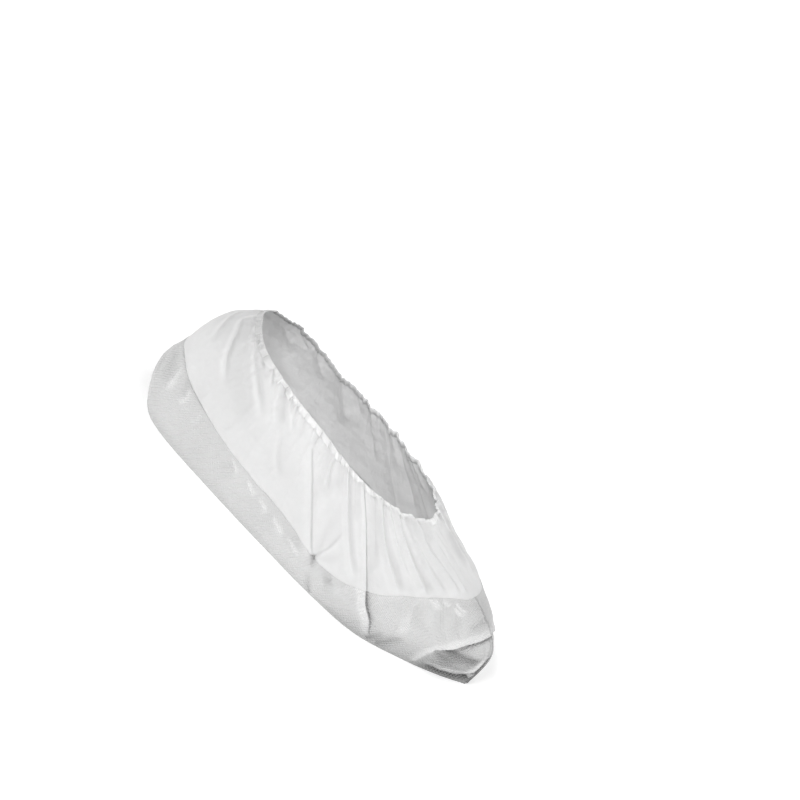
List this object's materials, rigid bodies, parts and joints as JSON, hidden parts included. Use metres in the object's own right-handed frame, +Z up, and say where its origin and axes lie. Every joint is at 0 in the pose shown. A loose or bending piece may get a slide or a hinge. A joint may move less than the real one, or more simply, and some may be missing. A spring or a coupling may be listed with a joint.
{
  "type": "shoe cover",
  "caption": "Disposable slip-on cover for a shoe: a non-woven upper gathered by an elastic edge round the foot opening, over a moulded film cup that wraps the sole.",
  "frame": {"origin": "the middle of the cover's length, on the inner face of the sole, where the foot stands", "axes": "+X to the toe, +Y to the side that the picture does not show, +Z up from the sole to the foot opening"},
  "size_m": [0.3083, 0.1122, 0.1026],
  "materials": {
    "upper": "matt white non-woven",
    "sole_film": "translucent grey-white embossed film, soft sheen",
    "elastic_edge": "matt white non-woven, rolled over elastic and puckered",
    "toe_seam": "welded film, soft sheen"
  },
  "bodies": {
    "root": {"upper": "upper", "sole_film": "sole_film", "elastic_edge": "elastic_edge", "toe_seam": "toe_seam"}
  },
  "joints": []
}
